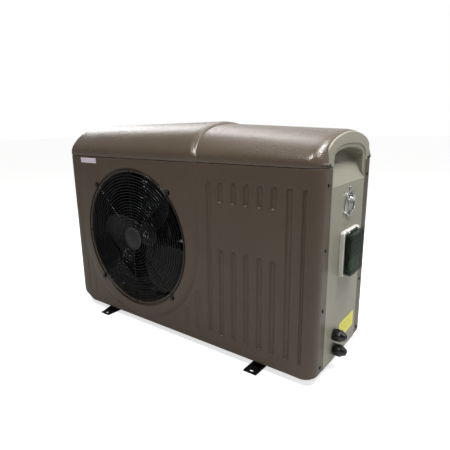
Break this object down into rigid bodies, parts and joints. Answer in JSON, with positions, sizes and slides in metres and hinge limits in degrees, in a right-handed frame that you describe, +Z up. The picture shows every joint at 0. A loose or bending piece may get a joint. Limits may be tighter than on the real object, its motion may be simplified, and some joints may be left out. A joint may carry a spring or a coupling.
{
  "type": "pool heat pump unit",
  "caption": "Free-standing pool and spa heat pump: moulded casing with arched lid, caged front fan, rear coil, water unions, gauge and flip-cover controller.",
  "frame": {"origin": "on the ground at the centre of the four foot slots", "axes": "+X towards the end with the gauge, controller and cable glands; -Y towards the fan side; +Z up"},
  "size_m": [1.0394, 0.477, 0.6925],
  "materials": {
    "shell_brown": "fine leather-grain moulded ABS",
    "panel_grey": "satin moulded ABS",
    "guard_black": "black dipped wire",
    "blade_black": "moulded, matt",
    "shroud_black": "moulded, matt",
    "screw_black": "black zinc",
    "steel": "bright",
    "motor_paint": "dark enamel",
    "galvanised": "galvanised sheet",
    "rail_black": "black powder coat",
    "fin_aluminium": "coated fins",
    "copper": "drawn copper",
    "brass": "satin",
    "compressor_paint": "black enamel",
    "rubber": "matt",
    "pvc_grey": "moulded PVC",
    "titanium": "drawn titanium",
    "switch_black": "moulded",
    "paddle_steel": "stainless sheet",
    "board_green": "solder mask",
    "can_aluminium": "drawn can",
    "white_plastic": "moulded ABS",
    "bezel_black": "moulded",
    "lcd": "display glass",
    "cover_smoke": "smoked clear cover",
    "button_grey": "soft keys",
    "gland_black": "moulded nylon",
    "gauge_chrome": "polished ring",
    "dial_white": "printed dial",
    "needle_black": "matt",
    "lens": "clear",
    "label": "plain foil"
  },
  "bodies": {
    "casing": {"base_pan": "galvanised", "cable_gland_bodies": "gland_black", "cable_gland_nuts": "gland_black", "casing_screws": "screw_black", "circuit_board": "board_green", "compressor": "compressor_paint", "compressor_grommets": "rubber", "contactor": "switch_black", "controller_base": "white_plastic", "controller_body": "bezel_black", "discharge_pipe": "copper", "electrical_box": "galvanised", "electrical_box_cover": "galvanised", "evaporator_bends": "copper", "evaporator_end_plates": "galvanised", "evaporator_fins": "fin_aluminium", "expansion_valve": "brass", "fan_guard": "guard_black", "fan_motor": "motor_paint", "fan_shroud": "shroud_black", "filter_drier": "copper", "flow_switch": "switch_black", "four_way_valve": "brass", "front_panel": "shell_brown", "gas_pipes": "copper", "gauge_case": "gauge_chrome", "gauge_dial": "dial_white", "gauge_lens": "lens", "gauge_screws": "steel", "guard_screws": "screw_black", "heat_exchanger_shell": "pvc_grey", "lcd_screen": "lcd", "left_foot_rail": "rail_black", "left_side_panel": "panel_grey", "liquid_pipes": "copper", "motor_bracket": "galvanised", "partition_plate": "galvanised", "rear_guard": "guard_black", "rear_panel": "shell_brown", "right_foot_rail": "rail_black", "right_side_panel": "panel_grey", "run_capacitor": "can_aluminium", "stickers": "label", "suction_pipe": "copper", "titanium_coil": "titanium", "top_lid": "shell_brown", "union_nuts": "pvc_grey", "union_tails": "pvc_grey", "water_inlet_pipe": "pvc_grey", "water_outlet_pipe": "pvc_grey"},
    "fan": {"fan_blades": "blade_black", "fan_nut": "steel", "motor_shaft": "steel"},
    "gauge_pointer": {"gauge_needle": "needle_black"},
    "controller_flap": {"controller_cover": "cover_smoke"},
    "power_key": {"power_button": "button_grey"},
    "mode_key": {"mode_button": "button_grey"},
    "up_key": {"up_button": "button_grey"},
    "down_key": {"down_button": "button_grey"},
    "flow_vane": {"flow_paddle": "paddle_steel"}
  },
  "joints": [
    {"name": "fan_spin", "type": "hinge", "parent": "casing", "child": "fan", "pos_m": [-0.155, -0.112, 0.3148], "axis": [0, -1, 0], "continuous": true},
    {"name": "cover_flip", "type": "hinge", "parent": "casing", "child": "controller_flap", "pos_m": [0.516, 0.004, 0.3986], "axis": [0, -1, 0], "range_deg": [0, 120]},
    {"name": "pointer_swing", "type": "hinge", "parent": "casing", "child": "gauge_pointer", "pos_m": [0.489, 0.0065, 0.472], "axis": [-1, 0, 0], "range_deg": [-45, 225]},
    {"name": "vane_swing", "type": "hinge", "parent": "casing", "child": "flow_vane", "pos_m": [0.37, 0.165, 0.142], "axis": [-1, 0, 0], "range_deg": [0, 12]},
    {"name": "power_press", "type": "slide", "parent": "casing", "child": "power_key", "axis": [-1, 0, 0], "range_m": [0, 0.001], "stiffness_N_per_m": 300},
    {"name": "mode_press", "type": "slide", "parent": "casing", "child": "mode_key", "axis": [-1, 0, 0], "range_m": [0, 0.001], "stiffness_N_per_m": 300},
    {"name": "up_press", "type": "slide", "parent": "casing", "child": "up_key", "axis": [-1, 0, 0], "range_m": [0, 0.001], "stiffness_N_per_m": 300},
    {"name": "down_press", "type": "slide", "parent": "casing", "child": "down_key", "axis": [-1, 0, 0], "range_m": [0, 0.001], "stiffness_N_per_m": 300}
  ]
}
